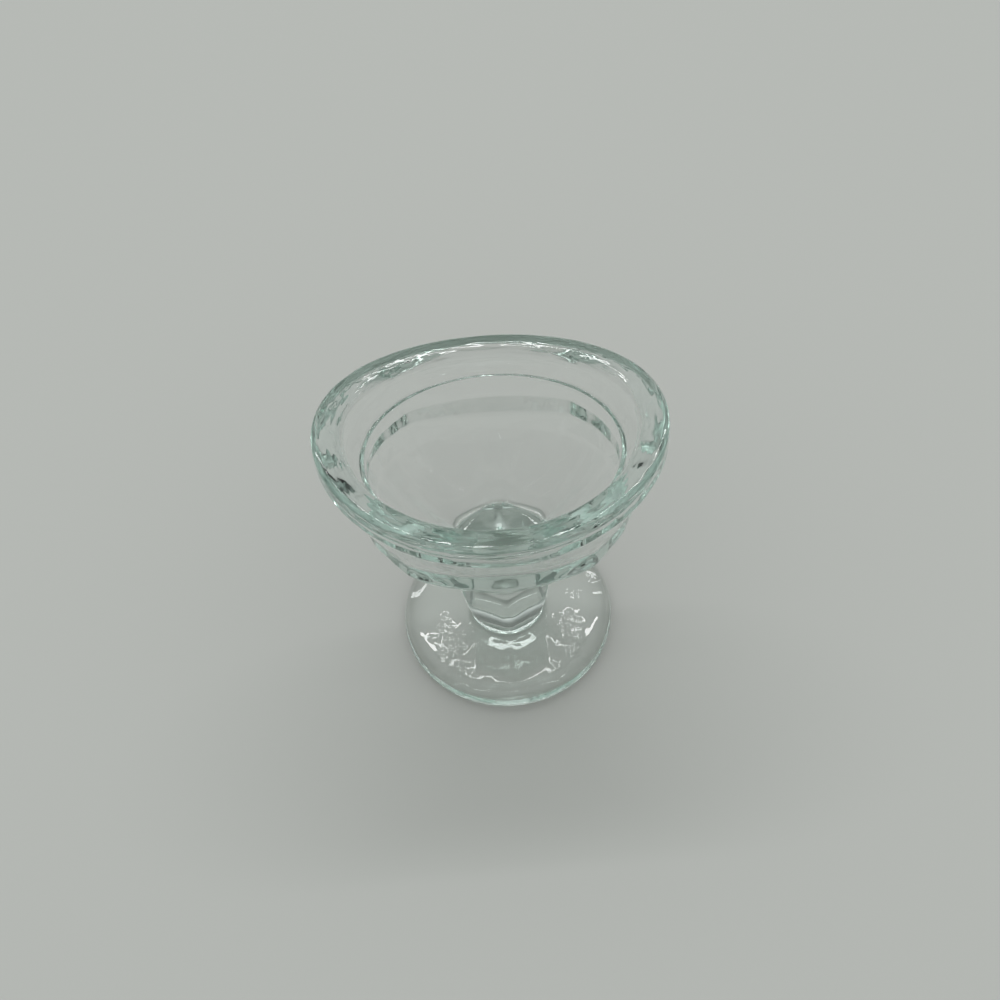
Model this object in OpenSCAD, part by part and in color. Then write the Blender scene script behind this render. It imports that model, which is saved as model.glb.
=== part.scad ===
// Pressed glass eye bath: an oval cup with a rolled rim, on a six-sided stem and a round foot.
// Z is up, X runs along the cup's long axis, and the origin is at the middle of the foot's base.

/* [Rim] */
// Outside length of the rim, end to end
rim_length = 50.2; // [46:0.1:56]
// Outside width of the rim, front to back
rim_width = 38.0; // [34:0.1:42]
// Thickness of the rim's bead, from its outside to the inside of the cup
rim_thickness = 4.3; // [3.8:0.1:4.6]
// Height of the rim's bead
rim_depth = 4.8; // [4.4:0.1:5.6]
// Rounding of the bead's outer edges
rim_rounding = 1.1; // [0.8:0.1:1.4]
// Height of the rim's crest at the front and back
rim_crest = 50.8; // [49:0.1:56]
// How far the top of the rim falls from its crest to the inside of the cup
crest_fall = 1.0; // [0.6:0.1:1.8]
// Rise of the rim from its front and back to its two ends
rim_rise = 3.7; // [1:0.1:5]
// Lean of the rim: the left end lies this much too high and the right end this much too low
rim_lean = 0.8; // [0:0.1:1.5]

/* [Bowl] */
// Length of the mouth, the upper edge of the cup's inside wall under the rim
mouth_length = 37.6; // [35:0.1:39]
// Width of the mouth
mouth_width = 29.4; // [26:0.1:29.6]
// Height of the mouth above the lower edge of the bead
mouth_up = 0.3; // [0:0.1:0.8]
// Length of the faceted collar, end to end
collar_length = 43.0; // [41:0.1:43.8]
// Width of the faceted collar at the middle of its front and back panels
collar_width = 32.6; // [31:0.1:33.6]
// Width of the front and back panels, corner to corner
panel_width = 26.8; // [22:0.1:29]
// How far the front and back panels bow out at their middle
panel_bow = 2.1; // [1.4:0.1:2.6]
// Length of the collar between its slanted corner facets
corner_length = 35.6; // [34.6:0.1:36.4]
// Width of the collar at the same places
corner_width = 19.4; // [18.4:0.1:20.4]
// Width of the blunt facet at each end of the collar
end_facet = 7.6; // [5:0.1:9]
// How far the end facets bow out at their middle
end_bow = 0.6; // [0.3:0.1:0.9]
// Height of the collar's lower edge above the base, at the front and back
collar_z = 35.6; // [34.5:0.1:36]
// Height of the collar's upper edge above the base, at the front and back
collar_top_z = 40.4; // [40:0.1:41.5]
// Rise of the collar's lower edge towards its ends, as a multiple of the rim's rise
collar_rise = 1.65; // [1:0.05:1.7]
// Rise of the collar's upper edge towards its ends, as a multiple of the rim's rise
collar_top_rise = 0.8; // [0.7:0.05:1.2]
// Inside length of the cup at its knee, where the wall turns in towards the floor
inside_length = 34.8; // [32:0.1:36]
// Inside width of the cup at its knee
inside_width = 24.0; // [22:0.1:26]
// Height of the knee above the collar's lower edge
knee_up = 0.9; // [0:0.1:1.5]
// Height of the inside floor above the base
floor_z = 24.9; // [24.2:0.1:28]
// Length of the flat part of the inside floor
floor_length = 10.4; // [6:0.1:12]
// Width of the flat part of the inside floor
floor_width = 9.2; // [6:0.1:10]
// How far the rounded edge of the inside floor reaches out from the flat part
floor_rounding = 1.3; // [0.6:0.1:2]

/* [Stem] */
// Stem across its corners at the narrowest place
waist_width = 12.2; // [10:0.1:13.6]
// How round the stem is at the narrowest place: 0 is six-sided and 1 is round
waist_roundness = 0.65; // [0:0.05:0.9]
// Height of the narrowest place above the base
waist_z = 5.6; // [5.2:0.1:7]
// Stem across its corners where it meets the bowl
stem_top_width = 18.0; // [15:0.1:19]
// Height above the base where it meets the bowl
stem_top_z = 21.0; // [19:0.1:22]
// Stem across its corners where it meets the foot
stem_base_width = 14.4; // [13:0.1:15]
// Share of each corner that is rounded away
corner_rounding = 0.05; // [0:0.01:0.1]

/* [Foot] */
// Diameter of the foot
foot_width = 33.6; // [30:0.1:36]
// Thickness of the foot at the stem
foot_thickness = 4.4; // [4.2:0.1:5]
// Diameter of the level place on the foot around the stem
foot_level = 15.2; // [15:0.1:16.4]
// Slope of the foot's top outside the level place, in degrees
foot_slope = 5; // [0:0.5:5]
// Rounding of the foot's upper edge
shoulder = 2.8; // [1.5:0.1:2.9]
// Width of the flat ring that the foot stands on
standing_ring = 2.6; // [1:0.1:3]
// Depth of the hollow under the foot
foot_hollow = 0.5; // [0.2:0.05:0.8]

/* [Hidden] */
glass = [0.80, 0.90, 0.86, 0.55];

// Points around each ring
RING = 72;
// Steps along a curved stretch
STEPS = 6;
// Half of the distance across the flats of a hexagon whose corners lie at 1
FLAT = cos(30);
// How far to each side, in degrees, a corner of a ring is softened
SOFT = 2;
// Where the flare under the rim runs into the bead's lower edge, in degrees below its side
FLARE_MEETS = 30;
// Share of the rim's rise that the mouth and the knee follow
MOUTH_RISE = 0.45;
KNEE_RISE = 1.1;
// Place of the bend in the inside wall, from the mouth to the knee, and how far it stands out
WALL_BEND = 0.5;
WALL_OUT = 0.2;
// Share of the way from the knee down to the floor's rounding that is straight
LOW_WALL = 0.9;
// Place of the bend in the rim's inner side, as a share of the way down to the mouth
INNER_BEND = 0.5;
// Height of the bend under the waist, as a share of the way from the foot
LOW_BEND = 0.3;
// Place of the bend over the waist, as shares of the way out and up to the bowl
HIGH_OUT = 0.52;
HIGH_UP = 0.32;

rim_a = rim_length/2;
rim_b = rim_width/2;
bead_z = rim_crest - rim_depth;
collar_a = collar_length/2;
collar_b = collar_width/2;
stem_top_r = stem_top_width/2;
waist_r = waist_width/2;
stem_base_r = stem_base_width/2;
knee_z = collar_z + knee_up;

// A station is [half length, half width, height, share of the rim's rise, share of the stem's
// hexagon, share of the collar's facets]
mouth_top = [mouth_length/2, mouth_width/2, bead_z + mouth_up, MOUTH_RISE, 0, 0];
collar_top = [collar_a, collar_b, collar_top_z, collar_top_rise, 0, 1];
collar_low = [collar_a, collar_b, collar_z, collar_rise, 0, 1];
stem_top = [stem_top_r, stem_top_r, stem_top_z, 0, 1, 0];
waist = [waist_r, waist_r, waist_z, 0, 1 - waist_roundness, 0];
stem_base = [stem_base_r, stem_base_r, foot_thickness, 0, 1, 0];
knee = [inside_length/2, inside_width/2, knee_z, KNEE_RISE, 0, 0];
floor_edge = [floor_length/2, floor_width/2, floor_z, 0, 0, 0];
floor_corner = floor_edge + [floor_rounding, floor_rounding, 0, 0, 0, 0];

// Curves between stations
function curve(p, bend, q, steps = STEPS, first = 0) =
    [for (i = [first:steps]) let(u = i/steps) (1 - u)^2*p + 2*u*(1 - u)*bend + u^2*q];
function between(p, q, u) = (1 - u)*p + u*q;

// Stations on the rim's section, so far in from its outside
function rim_station(in, z) = [rim_a - in, rim_b - in, z, 1, 0, 0];
function bead_edge(z, from, to, first = 0) = [for (i = [first:STEPS])
    let(t = between(from, to, i/STEPS)) rim_station(rim_rounding*(1 - cos(t)), z + rim_rounding*sin(t))];
function crest_side(first = 0) = [for (i = [first:STEPS])
    let(t = 90*i/STEPS, in = between(rim_rounding, rim_thickness, sin(t)))
    rim_station(in, rim_crest - crest_fall*(1 - cos(t)))];
under_bead = bead_edge(bead_z + rim_rounding, -FLARE_MEETS, 0);
wall_top = under_bead[0];

// The collar's corners, as shares of its half length and half width
panel_corner = [panel_width/2/collar_a, 1 - panel_bow/collar_b];
side_corner = [corner_length/2/collar_a, corner_width/2/collar_b];
end_corner = [1 - end_bow/collar_a, end_facet/2/collar_b];

// Radius, in direction t, of the straight edge through p and q, and of each outline
function edge_radius(p, q, t) = cross(p, q)/(abs(cos(t))*(q[1] - p[1]) - abs(sin(t))*(q[0] - p[0]));
function panel_radius(t) = 1/sqrt((1 - panel_corner[1]^2)*(cos(t)/panel_corner[0])^2 + sin(t)^2);
function facet_radius(t) = min(panel_radius(t), edge_radius(side_corner, panel_corner, t),
    edge_radius(end_corner, side_corner, t), edge_radius([1, 0], end_corner, t));
function hexagon_radius(t) = min(FLAT/cos(((t + 30)%60) - 30), 1 - corner_rounding);
function softened(v) = (v[0] + v[1] + v[2])/3;
function outline(s, t) = 1
    + s[4]*(softened([for (d = [-SOFT, 0, SOFT]) hexagon_radius(t + d + 360)]) - 1)
    + s[5]*(softened([for (d = [-SOFT, 0, SOFT]) facet_radius(t + d)]) - 1);

// The ring of points at one station
function rise(x) = rim_rise*(x/rim_a)^2 - rim_lean*x/rim_a;
function around(s) = [for (i = [0:RING - 1])
    let(t = 360*i/RING, r = outline(s, t), x = s[0]*r*cos(t))
    [x, s[1]*r*sin(t), s[2] + s[3]*rise(x)]];

// Faces between ring k and ring l, with the diagonal drawn either way
function band(k, l) = [for (i = [0:RING - 1]) let(j = (i + 1)%RING)
    each [[k*RING + i, l*RING + i, l*RING + j], [k*RING + i, l*RING + j, k*RING + j]]];
function band_back(k, l) = [for (i = [0:RING - 1]) let(j = (i + 1)%RING)
    each [[k*RING + i, l*RING + i, k*RING + j], [l*RING + i, l*RING + j, k*RING + j]]];
function fan_low(k, centre) = [for (i = [0:RING - 1]) [k*RING + i, k*RING + (i + 1)%RING, centre]];
function fan_high(k, centre) = [for (i = [0:RING - 1]) [k*RING + (i + 1)%RING, k*RING + i, centre]];

// The solid between a first and a last ring, closed by a point at the middle of each
module skinned(stations, low, high) {
    count = len(stations);
    points = [for (s = stations) each around(s)];
    bands = [for (k = [0:count - 2]) each band(k, k + 1)];
    ends = concat(fan_low(0, count*RING), fan_high(count - 1, count*RING + 1));
    polyhedron(concat(points, [low, high]), concat(bands, ends), convexity = 4);
}

// The rim: up the outside of the bead, over its crest and down into the cup
module rim() {
    outside = bead_edge(rim_crest - rim_rounding, 0, 90);
    inside = crest_side(1);
    inside_low = inside[STEPS - 1];
    inner_bend = [inside_low[0], inside_low[1], between(inside_low[2], mouth_top[2], INNER_BEND), 1, 0, 0];
    inner_side = curve(inside_low, inner_bend, mouth_top, STEPS, 1);
    stations = concat(under_bead, outside, inside, inner_side);
    count = len(stations);
    points = [for (s = stations) each around(s)];
    bands = [for (k = [0:count - 2]) each band(k, k + 1)];
    color(glass) polyhedron(points, concat(bands, band_back(count - 1, 0)), convexity = 6);
}

// The bowl: up the outside to the rim, then down the inside to the floor
module bowl() {
    body = [for (i = [0:2*STEPS]) between(stem_top, collar_low, i/STEPS/2)];
    collar = [for (i = [1:STEPS]) between(collar_low, collar_top, i/STEPS)];
    flare = [for (i = [1:STEPS]) between(collar_top, wall_top, i/STEPS)];
    wall_bend = between(mouth_top, knee, WALL_BEND) + [WALL_OUT, WALL_OUT, 0, 0, 0, 0];
    upper_wall = curve(mouth_top, wall_bend, knee);
    lower_wall = [for (i = [1:STEPS]) between(knee, floor_corner, LOW_WALL*i/STEPS)];
    floor_turn = curve(lower_wall[STEPS - 1], floor_corner, floor_edge, STEPS, 1);
    stations = concat(body, collar, flare, upper_wall, lower_wall, floor_turn);
    color(glass) skinned(stations, [0, 0, stem_top_z], [0, 0, floor_z]);
}

// The stem: six-sided, with a rounder waist just over the foot
module stem() {
    low_bend = [waist_r, waist_r, between(foot_thickness, waist_z, LOW_BEND), 0, waist[4], 0];
    high_r = between(waist_r, stem_top_r, HIGH_OUT);
    high_z = between(waist_z, stem_top_z, HIGH_UP);
    high_bend = [high_r, high_r, high_z, 0, between(waist[4], 1, HIGH_OUT), 0];
    flare = curve(stem_base, low_bend, waist);
    shaft = curve(waist, high_bend, stem_top, STEPS, 1);
    color(glass) skinned(concat(flare, shaft), [0, 0, foot_thickness], [0, 0, stem_top_z]);
}

// The foot: round, its top sloping gently from the stem to a rounded shoulder, whose lower end
// runs into the rounding of the lower edge
module foot() {
    foot_r = foot_width/2;
    level_r = foot_level/2;
    shoulder_x = foot_r - shoulder;
    slope_x = shoulder_x + shoulder*sin(foot_slope);
    slope_z = foot_thickness - (slope_x - level_r)*tan(foot_slope);
    lower_r = slope_z - shoulder*cos(foot_slope);
    lower_x = foot_r - lower_r;
    hollow_r = lower_x - standing_ring;
    dish_r = (hollow_r^2 + foot_hollow^2)/(2*foot_hollow);
    color(glass) rotate_extrude($fn = 96) difference() {
        union() {
            polygon([[0, 0], [lower_x, 0], [lower_x, lower_r], [shoulder_x, lower_r],
                [slope_x, slope_z], [level_r, foot_thickness], [0, foot_thickness]]);
            translate([lower_x, lower_r]) circle(r = lower_r, $fn = 48);
            translate([shoulder_x, lower_r]) intersection() {
                circle(r = shoulder, $fn = 96);
                square(shoulder);
            }
        }
        translate([0, foot_hollow - dish_r]) circle(r = dish_r, $fn = 360);
    }
}

rim();
bowl();
stem();
foot();
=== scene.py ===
"""Pressed glass eye bath: an oval cup with a rolled rim, on a six-sided stem and a round foot."""
import math
from collections import namedtuple

import bmesh
import bpy
from mathutils import Matrix, Vector, noise


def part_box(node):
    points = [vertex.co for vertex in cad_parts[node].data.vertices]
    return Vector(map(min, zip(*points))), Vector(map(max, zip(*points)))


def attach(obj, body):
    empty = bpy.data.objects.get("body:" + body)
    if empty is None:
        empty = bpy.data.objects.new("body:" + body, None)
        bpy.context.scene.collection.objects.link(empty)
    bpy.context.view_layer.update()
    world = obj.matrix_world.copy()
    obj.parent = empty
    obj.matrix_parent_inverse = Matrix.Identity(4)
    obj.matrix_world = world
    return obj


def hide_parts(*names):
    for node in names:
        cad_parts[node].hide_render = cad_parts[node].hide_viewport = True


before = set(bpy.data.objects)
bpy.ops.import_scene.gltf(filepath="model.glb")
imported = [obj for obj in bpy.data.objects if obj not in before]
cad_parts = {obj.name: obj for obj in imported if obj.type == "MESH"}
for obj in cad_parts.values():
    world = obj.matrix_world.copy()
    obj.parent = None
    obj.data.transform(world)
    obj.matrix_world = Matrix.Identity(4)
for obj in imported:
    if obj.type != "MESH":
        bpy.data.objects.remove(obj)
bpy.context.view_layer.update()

# Lengths are in millimetres until a mesh is finished, and turn into metres there
MM = 0.001


def size_of(node_name):
    """Length, width, lowest and highest height of a node of the frame."""
    low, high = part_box(node_name)
    return (high.x - low.x) / MM, (high.y - low.y) / MM, low.z / MM, high.z / MM


# Outside sizes, from the frame
RIM_LENGTH, RIM_WIDTH, _, _ = size_of("rim")
FOOT_WIDTH, _, _, FOOT_TOP = size_of("foot")
_, _, _, STEM_TOP = size_of("stem")

# Rim: a thick bead with rounded outer corners. Its crest falls a little to the inside and rises to
# both ends, a little more to the left one. The bowl's flare meets it at an angle in degrees, and
# inside it the wall bends down to the mouth, where a small sharp ledge runs round
BEAD_THICKNESS = 4.3
BEAD_DEPTH = 4.8
BEAD_ROUNDING = 1.1
CREST_FALL = 1.0
FLARE_MEETS = 30
BEAD_CREST = 50.8
RIM_RISE = 3.7
RIM_LEAN = 0.8
MOUTH_LENGTH = 37.6
MOUTH_WIDTH = 29.4
MOUTH_UP = 0.3
MOUTH_RISE = 0.45
INNER_BEND = 1.5
LEDGE = 0.45
LEDGE_SHARP = 0.1

# Bowl: the collar has bowed panels at the front and back, slanted facets at the corners and blunt
# ends. EDGE_EASE is the share of the wall over which its lower edge is eased. The inside runs from
# a knee just over that edge to a small flat floor, and LOW_WALL is the share of it that curves
COLLAR_LENGTH = 43.0
COLLAR_WIDTH = 32.6
COLLAR_LOW = 35.6
COLLAR_TOP = 40.4
PANEL_WIDTH = 26.8
PANEL_BOW = 2.1
COLLAR_RISE = 1.65
EDGE_EASE = 0.12
COLLAR_TOP_RISE = 0.8
CORNER_X = 17.8
CORNER_Y = 9.7
END_FACET = 7.6
END_BOW = 0.6
INSIDE_LENGTH = 34.8
INSIDE_WIDTH = 24.0
INSIDE_FLOOR = 24.9
FLOOR_LENGTH = 10.4
FLOOR_WIDTH = 9.2
FLOOR_CORNER_LENGTH = 1.4
FLOOR_CORNER_WIDTH = 1.2
LOW_WALL = 0.13
KNEE_UP = 0.9
KNEE_RISE = 1.1
UPPER_BULGE = 0.2

# Stem and foot: the stem's bends are shares of the way from the foot to the waist, and from the
# waist to the top. The foot slopes down to its shoulder and is level round the stem
STEM_TOP_WIDTH = 18.0
STEM_BASE_WIDTH = 14.4
WAIST_WIDTH = 12.2
WAIST_HEIGHT = 5.6
WAIST_ROUNDNESS = 0.65
FLARE_BEND = 0.3
SHAFT_BEND_OUT = 0.52
SHAFT_BEND_UP = 0.32
CORNER_ROUNDING = 0.04
STANDING_RING = 2.6
SHOULDER = 2.8
FOOT_SLOPE = math.radians(5)
LEVEL_WIDTH = 15.2
FOOT_HOLLOW = 0.5

# Fineness of the mesh: points round the glass, how far its corners are eased to each side, and rows
# of points. The last number of each line, curve and arc below is its count of rows
SIDES = 288
SOFT = math.radians(2.5)
SOFT_STEPS = 4
DISH_STEPS = 20
UNDERSIDE_STEPS = 12
BEAD_STEPS = 24

# Skin of the glass: how deep and how long its slow waves are, and the shorter ones on top of them
WAVE_DEPTH = 0.055
WAVE_LENGTH = 6.0
SHORTER_WAVE = 2.3
SHORTER_SHARE = 0.5

# Marks of the mould: streaks round the rim, and upright flutes on the collar, which start so far
# out from the middle, as a share of the collar's size, and fade in and out between these heights
STREAK_DEPTH = 0.04
STREAKS = 3.5
STREAKS_PER_MM = 3.2
FLUTE_DEPTH = 0.1
FLUTES = 70
FLUTES_PER_MM = 0.05
FLUTED_OUT = (0.42, 0.46)
FLUTED_LOW = (33, 35)
FLUTED_HIGH = (45, 47)

# Pebbled patches of the foot. They are full up to a share of the way out, their edges are ragged
# over three pebbles, and they lie between a height and just over the foot's top. Each patch has its
# middle, its half length and its half width
PEBBLE_DEPTH = 0.14
PEBBLE_SIZE = 0.55
PEBBLE_RAGGED = 0.6
RAGGED_SIZE = 3
FULL_PEBBLES = 0.3
PEBBLES_FROM = 2
PEBBLES_OVER = 0.2
PEBBLED = ((-9.6, -5.2, 3.2, 4.4), (9.6, -5.6, 2.4, 4.6), (10.5, 0.7, 1.8, 0.9), (14.2, 4.4, 1.4, 2.2))

# Glass: how far it bends light, its fine ripples in metres, and its tint where it is thick
REFRACTION = 1.51
RIPPLES_PER_METRE = 260
RIPPLE_HEIGHT = 0.00003
TINT = (0.45, 0.67, 0.59, 1)
TINT_DENSITY = 16

# How much light steep and level glass let through to the floor, each with its place on a scale
# from upright glass to level glass
STEEP_GLASS = (0.3, (0.2, 0.215, 0.2, 1))
LEVEL_GLASS = (0.9, (0.98, 0.99, 0.98, 1))

# The room: each of its two colours has its place on a scale from the horizon to overhead
ROOM_BRIGHTNESS = 0.92
HORIZON = (0.3, (0.19, 0.2, 0.19, 1))
OVERHEAD = (0.7, (0.9, 0.92, 0.905, 1))

# The strip lamp behind the object, in metres and watts
LAMP_PLACE = (0, 0.42, 0.93)
LAMP_AIM = (0, 0, 0.03)
LAMP_LENGTH = 1.3
LAMP_WIDTH = 0.04
LAMP_POWER = 2.4

# The floor lies just under the foot
FLOOR_DROP = 0.05
FLOOR_SIZE = 3000
FLOOR_COLOUR = (0.54, 0.553, 0.53, 1)
FLOOR_ROUGHNESS = 0.6

# The camera: its place, how far it looks down and rolls, and the length of its lens
CAMERA_PLACE = (0.41, -149.74, 263.66)
CAMERA_DOWN = 56.81
CAMERA_ROLL = 5.30
CAMERA_LENS = 66.6

# A ring of points round the glass: its half length, half width and height, how much of the rim's
# rise to the ends it takes, and how much of the stem's hexagon and of the collar's facets
Station = namedtuple("Station", "half_length half_width height rise hexagon facets")


def mix(p, q, u):
    """The station at share u of the way from p to q."""
    return Station(*[(1 - u) * a + u * b for a, b in zip(p, q)])


def widened(station, longer, wider):
    """A station with so much added to its half length and its half width."""
    return station._replace(half_length=station.half_length + longer,
                            half_width=station.half_width + wider)


def line(p, q, steps):
    """Stations after p, up to q, along a straight line."""
    return [mix(p, q, i / steps) for i in range(1, steps + 1)]


def curve(p, bend, q, steps):
    """Stations after p, up to q, along a curve that is drawn towards the bend."""
    shares = [i / steps for i in range(1, steps + 1)]
    return [mix(mix(p, bend, u), mix(bend, q, u), u) for u in shares]


def arc(centre, radius, start, end, steps):
    """Stations round a quarter or half circle in the section, at one offset from the centre."""
    found = []
    for i in range(1, steps + 1):
        turn = math.radians(start + (end - start) * i / steps)
        out, up = radius * math.cos(turn), radius * math.sin(turn)
        found.append(widened(centre, out, out)._replace(height=centre.height + up))
    return found


def foot_section():
    """From the middle of the hollow underside, round the edge, to the foot's gently sloping top."""
    shoulder_at = FOOT_WIDTH / 2 - SHOULDER
    slope_at = shoulder_at + SHOULDER * math.sin(FOOT_SLOPE)
    slope_top = FOOT_TOP - (slope_at - LEVEL_WIDTH / 2) * math.tan(FOOT_SLOPE)
    lower = slope_top - SHOULDER * math.cos(FOOT_SLOPE)
    lower_at = FOOT_WIDTH / 2 - lower
    hollow = lower_at - STANDING_RING
    dish = (hollow ** 2 + FOOT_HOLLOW ** 2) / (2 * FOOT_HOLLOW)
    under = []
    for i in range(DISH_STEPS + 1):
        out = hollow * i / DISH_STEPS
        height = FOOT_HOLLOW - dish + math.sqrt(dish ** 2 - out ** 2)
        under.append(Station(out, out, height, 0, 0, 0))
    ring = Station(lower_at, lower_at, 0, 0, 0, 0)
    edge = arc(ring._replace(height=lower), lower, -90, 0, 8)
    centre = Station(shoulder_at, shoulder_at, lower, 0, 0, 0)
    shoulder = arc(centre, SHOULDER, 0, 90 - math.degrees(FOOT_SLOPE), 24)
    return under + line(under[-1], ring, 3) + edge + shoulder


def stem_section(foot_top):
    """From the foot's top edge, in over the foot and up the waisted stem."""
    base = Station(STEM_BASE_WIDTH / 2, STEM_BASE_WIDTH / 2, FOOT_TOP, 0, 1, 0)
    waist_r = WAIST_WIDTH / 2
    waist = Station(waist_r, waist_r, WAIST_HEIGHT, 0, 1 - WAIST_ROUNDNESS, 0)
    top = Station(STEM_TOP_WIDTH / 2, STEM_TOP_WIDTH / 2, STEM_TOP, 0, 1, 0)
    flare_bend = waist._replace(height=FOOT_TOP + (WAIST_HEIGHT - FOOT_TOP) * FLARE_BEND)
    bend_height = WAIST_HEIGHT + (STEM_TOP - WAIST_HEIGHT) * SHAFT_BEND_UP
    shaft_bend = mix(waist, top, SHAFT_BEND_OUT)._replace(height=bend_height)
    level = Station(LEVEL_WIDTH / 2, LEVEL_WIDTH / 2, FOOT_TOP, 0, 0, 0)
    over_foot = line(foot_top, level, 56) + line(level, base, 3)
    return over_foot + curve(base, flare_bend, waist, 14) + curve(waist, shaft_bend, top, 20)


def bowl_section(stem_top, wall_top):
    """Up the tapering body, the faceted collar and the flare under the rim."""
    low = Station(COLLAR_LENGTH / 2, COLLAR_WIDTH / 2, COLLAR_LOW, COLLAR_RISE, 0, 1)
    high = low._replace(height=COLLAR_TOP, rise=COLLAR_TOP_RISE)
    below, above = mix(low, stem_top, EDGE_EASE), mix(low, high, EDGE_EASE * 2)
    return (line(stem_top, below, 26) + curve(below, low, above, 10) + line(above, high, 10)
            + line(high, wall_top, 12))


def rim_station(inwards, height):
    """A station on the rim's section, so far in from its outside."""
    return Station(RIM_LENGTH / 2 - inwards, RIM_WIDTH / 2 - inwards, height, 1, 0, 0)


def bead_underside():
    """The bead's lower outside corner, up from the place where the flare runs into it."""
    centre = rim_station(BEAD_ROUNDING, BEAD_CREST - BEAD_DEPTH + BEAD_ROUNDING)
    # An arc leaves out its start, so this one starts a step early and its first ring meets the flare
    start = -FLARE_MEETS * UNDERSIDE_STEPS / (UNDERSIDE_STEPS - 1)
    return arc(centre, BEAD_ROUNDING, start, 0, UNDERSIDE_STEPS)


def rim_section(mouth):
    """Up the outside of the bead, over its crest and down into the cup."""
    under = bead_underside()
    centre = rim_station(BEAD_ROUNDING, BEAD_CREST - BEAD_ROUNDING)
    side_top = under[-1]._replace(height=centre.height)
    crest = arc(centre, BEAD_ROUNDING, 0, 90, 16)
    inner = []
    for i in range(1, BEAD_STEPS + 1):
        turn = math.radians(90 * i / BEAD_STEPS)
        inwards = BEAD_ROUNDING + (BEAD_THICKNESS - BEAD_ROUNDING) * math.sin(turn)
        inner.append(rim_station(inwards, BEAD_CREST - CREST_FALL * (1 - math.cos(turn))))
    inner_edge = inner[-1]
    inner_bend = inner_edge._replace(height=inner_edge.height - INNER_BEND)
    return (under[1:] + line(under[-1], side_top, 8) + crest + inner
            + curve(inner_edge, inner_bend, mouth, 12))


def inside_section(mouth):
    """In over the small ledge at the mouth and down the inside of the cup to its flat floor."""
    ledge = widened(mouth, -LEDGE, -LEDGE)
    under_ledge = ledge._replace(height=ledge.height - LEDGE_SHARP)
    knee = Station(INSIDE_LENGTH / 2, INSIDE_WIDTH / 2, COLLAR_LOW + KNEE_UP, KNEE_RISE, 0, 0)
    bend = widened(mix(ledge, knee, 0.5), UPPER_BULGE, UPPER_BULGE)
    edge = Station(FLOOR_LENGTH / 2, FLOOR_WIDTH / 2, INSIDE_FLOOR, 0, 0, 0)
    corner = widened(edge, FLOOR_CORNER_LENGTH, FLOOR_CORNER_WIDTH)
    low_wall = mix(corner, knee, LOW_WALL)
    centre = Station(0, 0, INSIDE_FLOOR, 0, 0, 0)
    upper_wall = [under_ledge] + curve(ledge, bend, knee, 16)[1:]
    return (line(mouth, ledge, 6) + upper_wall + line(knee, low_wall, 24)
            + curve(low_wall, corner, edge, 14) + line(edge, centre, 8))


def edge_radius(p, q, turn):
    """How far out, in direction turn, the straight line through p and q lies."""
    cross = p[0] * q[1] - p[1] * q[0]
    return cross / (abs(math.cos(turn)) * (q[1] - p[1]) - abs(math.sin(turn)) * (q[0] - p[0]))


def facet_radius(turn):
    """The collar's outline, as a share of its oval: bowed panels, slanted facets, blunt ends."""
    panel = (PANEL_WIDTH / COLLAR_LENGTH, 1 - 2 * PANEL_BOW / COLLAR_WIDTH)
    side = (2 * CORNER_X / COLLAR_LENGTH, 2 * CORNER_Y / COLLAR_WIDTH)
    end = (1 - 2 * END_BOW / COLLAR_LENGTH, END_FACET / COLLAR_WIDTH)
    across = (1 - panel[1] ** 2) * (math.cos(turn) / panel[0]) ** 2
    bowed = 1 / math.sqrt(across + math.sin(turn) ** 2)
    edges = ((side, panel), (end, side), ((1, 0), end))
    return min(bowed, *[edge_radius(p, q, turn) for p, q in edges])


def hexagon_radius(turn):
    """The stem's outline, as a share of its width over the corners: one faces the front, one the back."""
    half_side = math.radians(30)
    from_flat = (turn + half_side) % (2 * half_side) - half_side
    return min(math.cos(half_side) / math.cos(from_flat), 1 - CORNER_ROUNDING)


def softened(outline, turn):
    """An outline with its corners eased over a small angle to each side."""
    turns = [turn + SOFT * k / SOFT_STEPS for k in range(-SOFT_STEPS, SOFT_STEPS + 1)]
    return sum(outline(t) for t in turns) / len(turns)


def wrap(bm, stations):
    """Wrap a flat sheet of squares round the glass, with one row of its points at each station."""
    rows = len(stations) - 1
    turns = [2 * math.pi * i / SIDES for i in range(SIDES + 1)]
    facets = [softened(facet_radius, t) - 1 for t in turns]
    hexagon = [softened(hexagon_radius, t) - 1 for t in turns]
    for v in bm.verts:
        i = round((v.co.x + 0.5) * SIDES)
        s = stations[round((v.co.y + 0.5) * rows)]
        r = 1 + s.hexagon * hexagon[i] + s.facets * facets[i]
        x = s.half_length * r * math.cos(turns[i])
        y = s.half_width * r * math.sin(turns[i])
        along = x / (RIM_LENGTH / 2)
        v.co = (x, y, s.height + s.rise * (RIM_RISE * along ** 2 - RIM_LEAN * along))


def eased(value, low, high):
    """0 below low, 1 above high, and a smooth way from one to the other."""
    share = min(max((value - low) / (high - low), 0), 1)
    return share * share * (3 - 2 * share)


def uneven(place):
    """A height that wanders round one half from place to place."""
    return 0.5 + noise.noise(place)


def rim_streaks(p):
    """Depth of the long shallow streaks that the mould and the fire polish left round the rim."""
    on_rim = eased(p.z, BEAD_CREST - BEAD_DEPTH - 1, BEAD_CREST - BEAD_DEPTH + 1)
    if on_rim == 0:
        return 0
    turn = math.atan2(p.y / RIM_WIDTH, p.x / RIM_LENGTH)
    across = Vector((p.x / RIM_LENGTH, p.y / RIM_WIDTH)).length * RIM_WIDTH
    streak = uneven((turn * STREAKS, across * STREAKS_PER_MM, p.z * STREAKS_PER_MM))
    return on_rim * STREAK_DEPTH * streak


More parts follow.
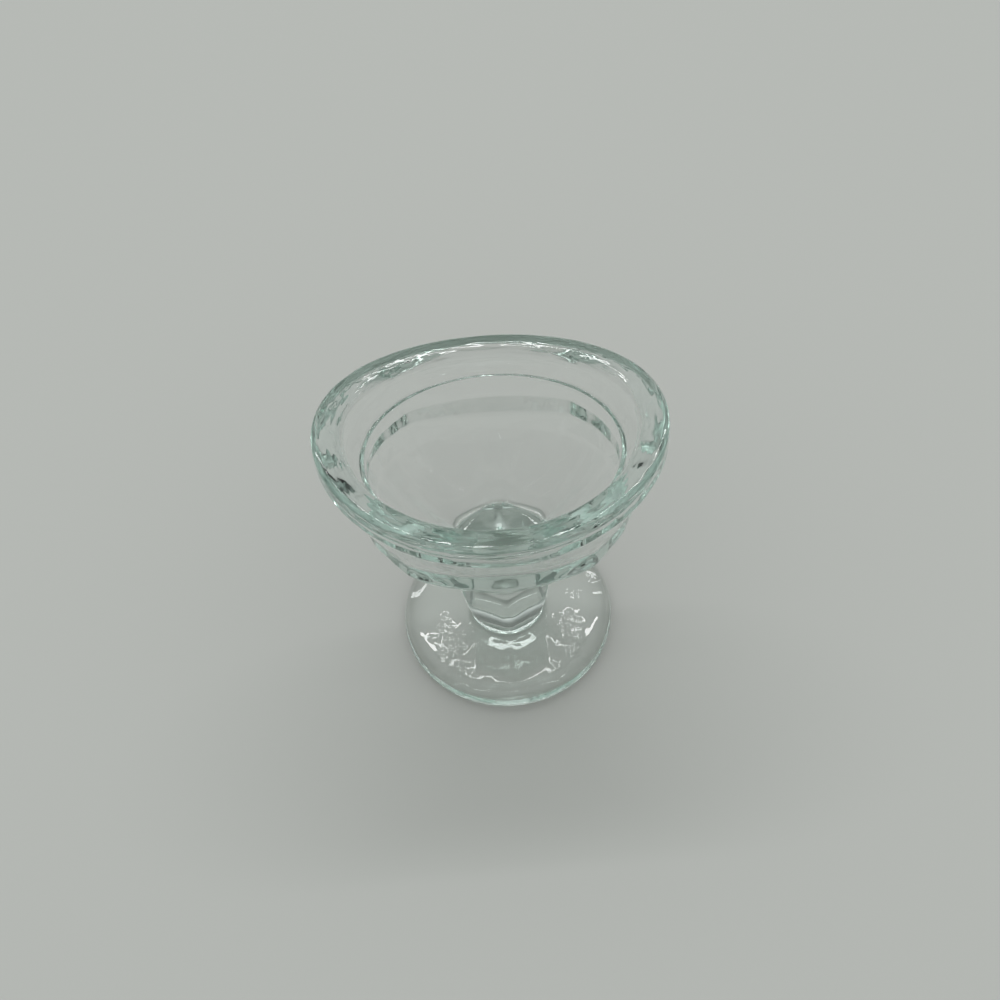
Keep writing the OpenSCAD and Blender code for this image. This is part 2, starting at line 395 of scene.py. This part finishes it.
def collar_flutes(p):
    """Depth of the upright marks of the mould on the collar."""
    out = Vector((p.x / COLLAR_LENGTH, p.y / COLLAR_WIDTH)).length
    on_collar = eased(out, *FLUTED_OUT) * eased(p.z, *FLUTED_LOW) * (1 - eased(p.z, *FLUTED_HIGH))
    if on_collar == 0:
        return 0
    turn = math.atan2(p.y, p.x) * FLUTES / (2 * math.pi)
    return on_collar * FLUTE_DEPTH * uneven((turn, 0, p.z * FLUTES_PER_MM))


def foot_pebbles(p):
    """Depth of the pebbled patches, left by a rough mould, on the foot at both sides of the stem."""
    if not PEBBLES_FROM <= p.z < FOOT_TOP + PEBBLES_OVER:
        return 0
    ragged = PEBBLE_RAGGED * noise.noise(p / PEBBLE_SIZE / RAGGED_SIZE)
    depth = 0
    for x, y, half_length, half_width in PEBBLED:
        away = math.hypot((p.x - x) / half_length, (p.y - y) / half_width) + ragged
        if away < 1:
            depth += (1 - eased(away, FULL_PEBBLES, 1)) * PEBBLE_DEPTH * uneven(p / PEBBLE_SIZE)
    return depth


def skin(bm):
    """Give the glass the slow waves of a pressed surface, and its streaks, flutes and pebbles."""
    bm.normal_update()
    for v in bm.verts:
        p = v.co
        shorter = SHORTER_SHARE * noise.noise(p / WAVE_LENGTH * SHORTER_WAVE)
        wave = noise.noise(p / WAVE_LENGTH) + shorter
        depth = WAVE_DEPTH * (0.5 + wave / 3)
        v.co = p - v.normal * (depth + rim_streaks(p) + collar_flutes(p) + foot_pebbles(p))


def finished_object(name, bm):
    """Turn a finished shape into an object of the scene."""
    mesh = bpy.data.meshes.new(name)
    bm.to_mesh(mesh)
    bm.free()
    made = bpy.data.objects.new(name, mesh)
    bpy.context.scene.collection.objects.link(made)
    return made


def make_glass():
    """The whole moulding, one unbroken skin from the hollow underside to the inside floor."""
    wall_top = bead_underside()[0]
    mouth_height = BEAD_CREST - BEAD_DEPTH + MOUTH_UP
    mouth = Station(MOUTH_LENGTH / 2, MOUTH_WIDTH / 2, mouth_height, MOUTH_RISE, 0, 0)
    stations = foot_section()
    stations += stem_section(stations[-1])
    stations += bowl_section(stations[-1], wall_top)
    stations += rim_section(mouth) + inside_section(mouth)

    bm = bmesh.new()
    bmesh.ops.create_grid(bm, x_segments=SIDES, y_segments=len(stations) - 1, size=0.5)
    wrap(bm, stations)
    bmesh.ops.remove_doubles(bm, verts=bm.verts, dist=0.0005)
    bmesh.ops.recalc_face_normals(bm, faces=bm.faces)
    skin(bm)
    bmesh.ops.scale(bm, vec=(MM, MM, MM), verts=bm.verts)
    for face in bm.faces:
        face.smooth = True
    return finished_object("glass_moulding", bm)


def add_node(tree, kind, **values):
    """A shader node with these values on its sockets."""
    made = tree.nodes.new(kind)
    for name, value in values.items():
        made.inputs[name.replace("_", " ")].default_value = value
    return made


def add_ramp(tree, start, end):
    """A colour ramp between two places on a scale, each given with its colour."""
    ramp = add_node(tree, "ShaderNodeValToRGB")
    for stop, (position, colour) in zip(ramp.color_ramp.elements, (start, end)):
        stop.position, stop.color = position, colour
    return ramp


def new_material(name):
    """A material with its node tree, its surface shader and its output."""
    material = bpy.data.materials.new(name)
    material.use_nodes = True
    tree = material.node_tree
    return material, tree, tree.nodes["Principled BSDF"], tree.nodes["Material Output"]


def clear_glass():
    """Old soda-lime glass: faintly green where it is thick, with a slightly uneven fire polish."""
    material, tree, surface, output = new_material("clear_glass")
    link = tree.links.new
    surface.inputs["Base Color"].default_value = (1, 1, 1, 1)
    surface.inputs["Transmission Weight"].default_value = 1
    surface.inputs["IOR"].default_value = REFRACTION
    surface.inputs["Roughness"].default_value = 0

    place = add_node(tree, "ShaderNodeTexCoord")
    ripple = add_node(tree, "ShaderNodeTexNoise", Scale=RIPPLES_PER_METRE, Detail=2)
    bump = add_node(tree, "ShaderNodeBump", Strength=1, Distance=RIPPLE_HEIGHT)
    link(place.outputs["Object"], ripple.inputs["Vector"])
    link(ripple.outputs["Fac"], bump.inputs["Height"])
    link(bump.outputs["Normal"], surface.inputs["Normal"])

    # Light falls straight through level glass, and steep glass throws much of it aside
    directions = add_node(tree, "ShaderNodeSeparateXYZ")
    levelness = add_node(tree, "ShaderNodeMath")
    levelness.operation = "ABSOLUTE"
    shade = add_ramp(tree, STEEP_GLASS, LEVEL_GLASS)
    link(place.outputs["Normal"], directions.inputs["Vector"])
    link(directions.outputs["Z"], levelness.inputs[0])
    link(levelness.outputs["Value"], shade.inputs["Fac"])

    rays = add_node(tree, "ShaderNodeLightPath")
    clear = add_node(tree, "ShaderNodeBsdfTransparent")
    link(shade.outputs["Color"], clear.inputs["Color"])
    seen = surface
    for ray in ("Is Shadow Ray", "Is Diffuse Ray"):
        either = add_node(tree, "ShaderNodeMixShader")
        link(rays.outputs[ray], either.inputs["Fac"])
        link(seen.outputs[0], either.inputs[1])
        link(clear.outputs["BSDF"], either.inputs[2])
        seen = either
    link(seen.outputs[0], output.inputs["Surface"])

    tint = add_node(tree, "ShaderNodeVolumeAbsorption", Color=TINT, Density=TINT_DENSITY)
    link(tint.outputs["Volume"], output.inputs["Volume"])
    return material


def floor_paint():
    """A plain, pale, matt surface."""
    material, _, surface, _ = new_material("pale_floor")
    surface.inputs["Base Color"].default_value = FLOOR_COLOUR
    surface.inputs["Roughness"].default_value = FLOOR_ROUGHNESS
    return material


def make_floor():
    """A wide flat surface for the object to stand on."""
    bm = bmesh.new()
    bmesh.ops.create_grid(bm, x_segments=1, y_segments=1, size=FLOOR_SIZE * MM)
    bmesh.ops.translate(bm, verts=bm.verts, vec=(0, 0, -FLOOR_DROP * MM))
    floor = finished_object("floor", bm)
    floor.data.materials.append(floor_paint())
    return floor


def make_room_light():
    """A pale room: darker near the horizon, brighter overhead."""
    world = bpy.data.worlds.new("room")
    bpy.context.scene.world = world
    world.use_nodes = True
    tree = world.node_tree
    background = tree.nodes["Background"]
    background.inputs["Strength"].default_value = ROOM_BRIGHTNESS
    place = add_node(tree, "ShaderNodeTexCoord")
    directions = add_node(tree, "ShaderNodeSeparateXYZ")
    ramp = add_ramp(tree, HORIZON, OVERHEAD)
    tree.links.new(place.outputs["Generated"], directions.inputs["Vector"])
    tree.links.new(directions.outputs["Z"], ramp.inputs["Fac"])
    tree.links.new(ramp.outputs["Color"], background.inputs["Color"])


def make_lamp():
    """One long strip lamp, high behind the object and turned towards it."""
    lamp = bpy.data.lights.new("back_lamp", "AREA")
    lamp.shape = "RECTANGLE"
    lamp.energy = LAMP_POWER
    lamp.size = LAMP_LENGTH
    lamp.size_y = LAMP_WIDTH
    holder = bpy.data.objects.new("back_lamp", lamp)
    holder.location = LAMP_PLACE
    towards = Vector(LAMP_AIM) - Vector(LAMP_PLACE)
    holder.rotation_euler = towards.to_track_quat("-Z", "Y").to_euler()
    bpy.context.scene.collection.objects.link(holder)


def make_camera():
    """A camera in front of the object and above it, looking down into the cup."""
    lens = bpy.data.cameras.new("camera")
    lens.lens = CAMERA_LENS
    camera = bpy.data.objects.new("camera", lens)
    place = Matrix.Translation(Vector(CAMERA_PLACE) * MM)
    tilt = Matrix.Rotation(math.radians(90 - CAMERA_DOWN), 4, "X")
    roll = Matrix.Rotation(math.radians(-CAMERA_ROLL), 4, "Z")
    camera.matrix_world = place @ tilt @ roll
    bpy.context.scene.collection.objects.link(camera)
    bpy.context.scene.camera = camera


def set_light_paths():
    """Let light pass on through the bead and the foot as often as glass turns it back."""
    cycles = bpy.context.scene.cycles
    cycles.caustics_refractive = False
    cycles.caustics_reflective = False
    cycles.max_bounces = 40
    cycles.transmission_bounces = 40
    cycles.glossy_bounces = 12
    cycles.transparent_max_bounces = 24


bpy.context.scene.view_settings.view_transform = "Standard"
set_light_paths()
make_camera()
make_room_light()
make_lamp()
make_floor()

glass = make_glass()
glass.data.materials.append(clear_glass())
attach(glass, "root")
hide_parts("rim", "bowl", "stem", "foot")
